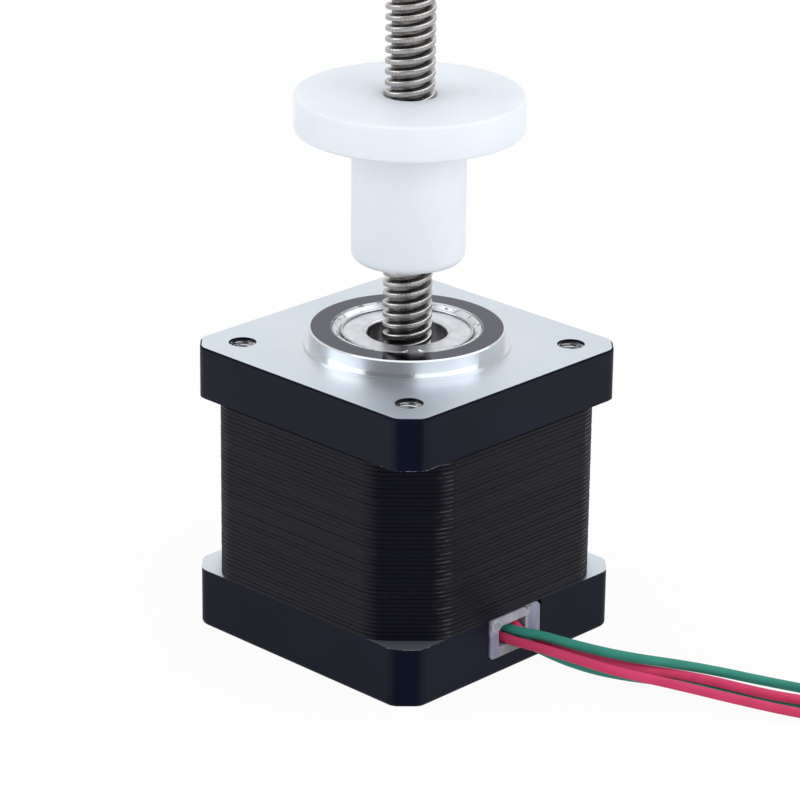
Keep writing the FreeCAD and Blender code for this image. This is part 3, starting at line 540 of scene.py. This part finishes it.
# Lead nut: turned from white acetal, a round body under a wide plain flange. Its bore runs on the screw,
# and what it drives keeps it from turning.
PLASTIC_DEPTHS = (1.0, 0.95, 0.9)
acetal, shader, place = finish("white_acetal", IOR=1.48, Specular_IOR_Level=0.3, Subsurface_Weight=0.6,
                               Subsurface_Scale=0.004, Subsurface_Radius=PLASTIC_DEPTHS)
cloud = place.noise(160, 3)
turned = place.noise(900, 3, (0.2, 0.2, 5))
feed(shader, Base_Color=cloud.rise(0.2, 0.8).blend((0.795, 0.825, 0.872), (0.835, 0.865, 0.912)),
     Roughness=turned * 0.12 + 0.5, Normal=turned.bump(0.00001, 0.3))
coat(acetal, "lead_nut")

# Lead grommet: a moulded frame of translucent nylon, pushed into the notch in the rear cap's side. Its right
# bar is darker and bluer, its sill and left post darker, and the mould's gate left a round mark at its upper
# left.
RIGHT_BAR = 2.0
LEFT_BAR = -3.0
SILL_TOP = 3.35
POST_TOP = 5.4
POST_FOOT = 1.2
GATE = Vector((17.7, -3.6, 6.12))
GATE_RINGS = ((0.78, -0.05), (0.75, 0.12), (0.66, 0.17), (0.52, 0.17), (0.42, 0.06), (0.0, 0.05))
GATE_SIDES = 32
grommet_nylon, shader, place = finish("translucent_nylon", IOR=1.53, Subsurface_Weight=0.4,
                                      Subsurface_Scale=0.0015, Subsurface_Radius=PLASTIC_DEPTHS)
across = place.axis("Y")
height = place.axis("Z")
cloud = place.noise(500, 3)
milky = cloud.rise(0.3, 0.7).blend((0.28, 0.275, 0.34), (0.39, 0.385, 0.45))
clear = place.noise(700, 3).rise(0.3, 0.7).blend((0.17, 0.18, 0.275), (0.27, 0.28, 0.375))
sill = cloud.rise(0.3, 0.7).blend((0.21, 0.22, 0.235), (0.27, 0.28, 0.29))
colour = across.rise((RIGHT_BAR - 0.25) * MM, (RIGHT_BAR + 0.3) * MM).blend(milky, clear)
below = (height + across * 0.02).rise((SILL_TOP + 0.15) * MM, (SILL_TOP - 0.15) * MM)
colour = (below * across.rise((LEFT_BAR - 0.3) * MM, (LEFT_BAR + 0.1) * MM)).blend(colour, sill)
post = across.rise((LEFT_BAR + 0.25) * MM, (LEFT_BAR - 0.1) * MM)
post = post * height.rise(POST_TOP * MM, (POST_TOP - 0.5) * MM)
post = post * height.rise(POST_FOOT * MM, (POST_FOOT + 1.4) * MM)
colour = post.blend(colour, (0.205, 0.19, 0.275))
feed(shader, Base_Color=colour, Roughness=cloud * 0.15 + 0.3, Normal=cloud.bump(0.00004, 0.4))
coat(grommet_nylon, "lead_grommet")
loops = []
for reach, proud in GATE_RINGS:
    loops.append([GATE + Vector((proud, reach * y, reach * z)) for y, z in circle(GATE_SIDES)])
points, faces = skin(loops)
add_mesh("grommet_gate_mark", points, faces, "motor", grommet_nylon)

# Leads: stranded copper in soft green and red plastic, out through the grommet and down to the bench.
# What the photograph doesn't show is wound in a neat coil, one column to each lead, with a soft tie.
LEAD_RADIUS = 0.55
LEAD_LENGTH = 300.0
LEAD_EXIT = 17.7
TIP_LENGTH = 5.0
TIP_RINGS = ((0.0, 0.35), (0.8, 0.36), (4.2, 0.35), (4.8, 0.3), (TIP_LENGTH, 0.14))
TIP_STRANDS = 7
TIP_SIDES = 2 * TIP_STRANDS
TIP_TWIST = 60
ROUTES = {
    "lead_green_1": [
        (15.2, -0.95, 4.8), (17.8, -0.88, 4.76), (20.73, 0.41, 4.81), (25.2, 1.59, 4.59), (30.05, 4.48, 3.88),
        (35.77, 9.86, 2.83), (42.55, 15.11, 1.38), (50.08, 19.02, 0.99), (55.9, 20.45, 0.9),
    ],
    "lead_red_2": [
        (15.2, 0.5, 5.5), (16.4, 0.5, 5.1), (17.8, 0.56, 3.98), (20.9, 1.35, 3.72), (24.58, 2.42, 3.11),
        (29.64, 4.68, 2.48), (36.4, 9.25, 2.0), (45.14, 11.78, 1.83), (51.6, 15.4, 1.78), (56.6, 18.5, 1.2),
    ],
    "lead_green_2": [
        (15.2, -0.55, 4.0), (17.6, -0.55, 3.96), (20.5, 0.45, 3.04), (24.81, 1.12, 2.48), (28.93, 3.35, 1.76),
        (33.98, 7.48, 1.19), (41.7, 11.33, 0.62), (48.8, 14.2, 0.62), (55.5, 16.95, 0.62),
    ],
    "lead_red_1": [
        (15.3, -1.6, 4.0), (17.8, -1.72, 3.95), (21.16, -0.52, 3.77), (25.94, 0.24, 3.72), (30.83, 2.11, 3.1),
        (35.89, 5.54, 2.24), (43.39, 8.86, 1.58), (50.0, 12.11, 1.08), (56.03, 15.6, 1.05),
    ],
}
COIL_CENTRE = Vector((60.4, 26.2, 0))
COIL_MIDDLE = 6.6
COIL_COLUMN = 1.15
COIL_PITCH = 1.15
COIL_FLOOR = 0.95
COIL_START = -75
COIL_STEP = 24
COIL_LEAD_IN = 6.0


def lead_finish(name, dark, light):
    """Soft dull lead plastic with a faint waviness."""
    material, shader, place = finish(name, Specular_IOR_Level=0.25)
    cloud = place.noise(350, 3)
    feed(shader, Base_Color=cloud.rise(0.25, 0.75).blend(dark, light), Roughness=cloud * 0.15 + 0.5,
         Normal=place.noise(1400, 2).bump(0.00003, 0.3))
    return material


def lead_line(column, route):
    """The points of a lead: its route from the grommet, then its column of the coil to its full length."""
    radius = COIL_MIDDLE + (column - (len(ROUTES) - 1) / 2) * COIL_COLUMN
    line = [Vector(point) for point in route]
    laid = sum((b - a).length for a, b in zip(line, line[1:])) + COIL_LEAD_IN
    sweep = math.degrees((LEAD_LENGTH - TIP_LENGTH - laid) / radius)
    reach = radius / math.cos(math.radians(COIL_STEP / 2))
    for k in range(int(sweep / COIL_STEP) + 1):
        angle = math.radians(COIL_START + k * COIL_STEP)
        height = COIL_FLOOR + COIL_PITCH * k * COIL_STEP / 360
        line.append(COIL_CENTRE + Vector((reach * math.cos(angle), reach * math.sin(angle), height)))
    return line


def bare_tip(end, along):
    """The bare twisted strands past a lead's plastic: points and faces."""
    side = along.cross(Vector((0, 0, 1))).normalized()
    over = side.cross(along)
    loops = []
    for distance, size in TIP_RINGS:
        loop = []
        for k in range(TIP_SIDES):
            angle = 2 * math.pi * k / TIP_SIDES
            twist = angle + math.radians(TIP_TWIST * distance)
            strand = size * (1 + 0.1 * math.cos(TIP_STRANDS * angle))
            loop.append(end + along * distance + (side * math.cos(twist) + over * math.sin(twist)) * strand)
        loops.append(loop)
    points, faces = skin(loops)
    faces.append(tuple(range(len(points) - TIP_SIDES, len(points))))
    return points, faces


green = lead_finish("green_lead_plastic", (0.030, 0.235, 0.175), (0.038, 0.28, 0.21))
red = lead_finish("red_lead_plastic", (0.60, 0.040, 0.115), (0.68, 0.052, 0.145))
tinned = steel_finish("tinned_strands", (0.62, 0.62, 0.63), 0.25)
band, shader, place = finish("soft_black_band", Specular_IOR_Level=0.3)
cloud = place.noise(1200, 3)
feed(shader, Base_Color=cloud.blend((0.012, 0.012, 0.012), (0.03, 0.03, 0.03)), Roughness=cloud * 0.2 + 0.55)
coat(band, "lead_tie")
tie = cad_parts["lead_tie"]
for column, (name, route) in enumerate(ROUTES.items()):
    line = lead_line(column, route)
    curve = bpy.data.curves.new(name + "_insulation", "CURVE")
    curve.dimensions = "3D"
    curve.bevel_depth = LEAD_RADIUS * MM
    curve.bevel_resolution = 5
    curve.resolution_u = 6
    curve.use_fill_caps = True
    spline = curve.splines.new("NURBS")
    spline.points.add(len(line) - 1)
    for target, point in zip(spline.points, line):
        target.co = (point.x * MM, point.y * MM, point.z * MM, 1)
    spline.order_u = 3
    spline.use_endpoint_u = True
    plastic, slot = (green, "lead_green") if "green" in name else (red, "lead_red")
    curve.materials.append(plastic)
    lead = bpy.data.objects.new(name + "_insulation", curve)
    bpy.context.scene.collection.objects.link(lead)
    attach(lead, "motor")
    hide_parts(name, "lead_coil")
    points, faces = bare_tip(line[-1], (line[-1] - line[-2]).normalized())
    tip = add_mesh(name + "_tip", points, faces, "motor", tinned, 50)
    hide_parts("lead_tips")
    nearest = min(route, key=lambda point: abs(point[0] - LEAD_EXIT))
    exit_point = (LEAD_EXIT * MM, nearest[1] * MM, nearest[2] * MM)
    extras = [tip, tie] if name == "lead_red_1" else [tip]

# Floor: a plain sheet of white paper under the object, far wider than the picture. It glows nearly white
# to the camera and in reflections, and keeps a faint shadow.
FLOOR_HALF = 4.0
FLOOR_GLOW = 0.94
mesh = bpy.data.meshes.new("studio_floor")
corners = [(x * FLOOR_HALF, y * FLOOR_HALF, 0) for x, y in ((-1, -1), (1, -1), (1, 1), (-1, 1))]
mesh.from_pydata(corners, [], [(0, 1, 2, 3)])
floor = bpy.data.objects.new("studio_floor", mesh)
bpy.context.scene.collection.objects.link(floor)
paper, shader, place = finish("white_paper", Roughness=0.9, Base_Color=(0.86, 0.86, 0.87, 1),
                              Specular_IOR_Level=0.0)


def shows_white(place):
    """1 where the ray comes from the camera, a reflection or glass, which see the studio's white."""
    camera_ray = place.make("LightPath", output="Is Camera Ray")
    glossy_ray = place.make("LightPath", output="Is Glossy Ray")
    return camera_ray.either(glossy_ray).either(place.make("LightPath", output="Is Transmission Ray"))


glow = place.make("Emission", None, {"Color": (1, 1, 1, 1), "Strength": 1.0})
matt = Shade(place.tree, shader.outputs[0])
sheet = place.make("MixShader", None, {0: shows_white(place) * FLOOR_GLOW, 1: matt, 2: glow})
place.tree.links.new(sheet.socket, place.tree.nodes["Material Output"].inputs["Surface"])
mesh.materials.append(paper)

# Light: a white surround that is dimmer on the side the camera looks from, a soft box low on each side
# of the camera and one overhead.
TO_CAMERA = (0.695, -0.719, 0)
LIGHT_AIM = Vector((0, 0, 0.03))
world = bpy.data.worlds.new("studio")
bpy.context.scene.world = world
world.use_nodes = True
sky = Shade(world.node_tree, None)
direction = sky.make("TexCoord", output="Generated")
front = sky.make("VectorMath", {"operation": "DOT_PRODUCT"}, {0: direction, 1: TO_CAMERA}, output="Value")
strength = sky.make("LightPath", output="Is Camera Ray").either(1 - front.rise(0.0, 0.8) * 0.65)
white = sky.make("Background", None, {"Color": (1, 1, 1, 1), "Strength": strength})
soft = sky.make("Background", None, {"Color": (0.94, 0.97, 1.0, 1), "Strength": 0.38})
studio = sky.make("MixShader", None, {0: shows_white(sky), 1: soft, 2: white})
world.node_tree.links.new(studio.socket, world.node_tree.nodes["World Output"].inputs["Surface"])


def toward(around, above):
    """The direction at an angle round from +X and an angle above the floor, in degrees."""
    around = math.radians(around)
    above = math.radians(above)
    return Vector((math.cos(above) * math.cos(around), math.cos(above) * math.sin(around), math.sin(above)))


for name, around, above, distance, width, height, power in (
        ("left_box", -123, 22, 0.75, 0.7, 0.5, 2.2),
        ("right_box", 3, 22, 0.75, 1.1, 0.5, 3.4),
        ("top_box", 110, 76, 0.9, 1.5, 1.5, 6.1)):
    light = bpy.data.lights.new(name, "AREA")
    light.shape = "RECTANGLE"
    light.size = width
    light.size_y = height
    light.energy = power
    light.color = (0.95, 0.975, 1.0)
    lamp = bpy.data.objects.new(name, light)
    lamp.location = LIGHT_AIM + toward(around, above) * distance
    lamp.rotation_euler = (-toward(around, above)).to_track_quat("-Z", "Y").to_euler()
    lamp.visible_camera = False
    bpy.context.scene.collection.objects.link(lamp)

# Camera: a long lens at the photograph's angle, from the front corner and a little above. It leans by
# less than a degree, as the photograph does.
CAMERA_PLACE = Vector((0.269644, -0.279714, 0.179957))
CAMERA_AROUND = -45.9474
CAMERA_ABOVE = 21.4722
CAMERA_LEAN = 0.6711
camera = bpy.data.cameras.new("camera")
camera.lens = 166.83
camera.sensor_width = 36
camera.clip_start = 0.02
eye = bpy.data.objects.new("camera", camera)
back = toward(CAMERA_AROUND, CAMERA_ABOVE)
level = toward(CAMERA_AROUND + 90, 0)
right = Matrix.Rotation(math.radians(CAMERA_LEAN), 3, back) @ level
turn = Matrix((right, back.cross(right), back)).transposed().to_4x4()
eye.matrix_world = Matrix.Translation(CAMERA_PLACE) @ turn
bpy.context.scene.collection.objects.link(eye)
bpy.context.scene.camera = eye
bpy.context.scene.view_settings.view_transform = "Standard"
